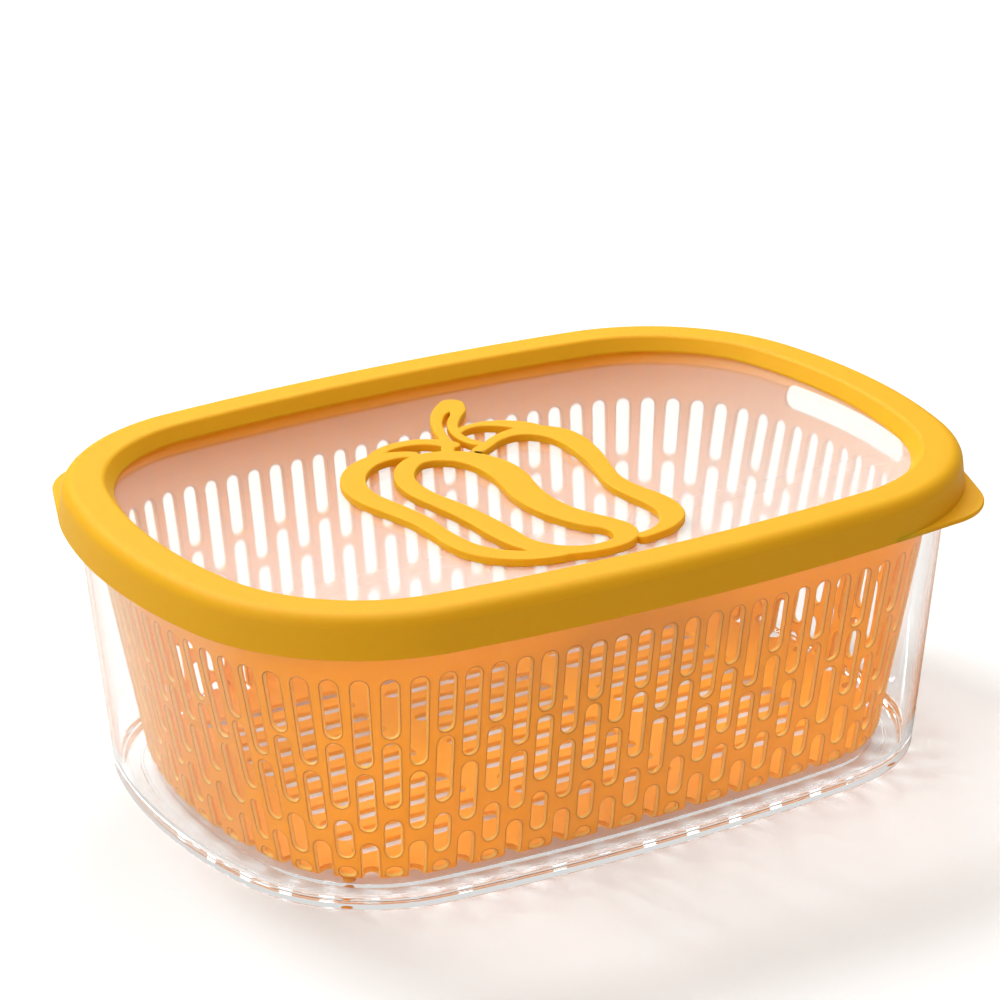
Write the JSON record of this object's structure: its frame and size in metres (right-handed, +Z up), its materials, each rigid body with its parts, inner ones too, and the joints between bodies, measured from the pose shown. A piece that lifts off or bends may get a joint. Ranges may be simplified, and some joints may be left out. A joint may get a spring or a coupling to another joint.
{
  "type": "produce keeper",
  "caption": "Rounded oblong food keeper: clear tub, slotted drain basket standing inside it, and a lift-off lid with a clear window and a raised pepper outline.",
  "frame": {"origin": "on the ground under the middle of the tub", "axes": "+X along the keeper, +Y from the front to the back, +Z up"},
  "size_m": [0.28, 0.1952, 0.0982],
  "materials": {
    "clear_tub": "clear smooth moulded plastic",
    "orange_basket": "slightly translucent orange moulded plastic, satin gloss",
    "amber_lid": "amber yellow moulded plastic, soft satin",
    "clear_window": "clear smooth moulded plastic"
  },
  "bodies": {
    "base": {"tub": "clear_tub", "basket": "orange_basket"},
    "lid": {"lid_frame": "amber_lid", "lid_window": "clear_window", "pepper_ornament": "amber_lid"}
  },
  "joints": [
    {"name": "lid_lift", "type": "slide", "parent": "base", "child": "lid", "axis": [0, 0, 1], "range_m": [0, 0.12]}
  ]
}
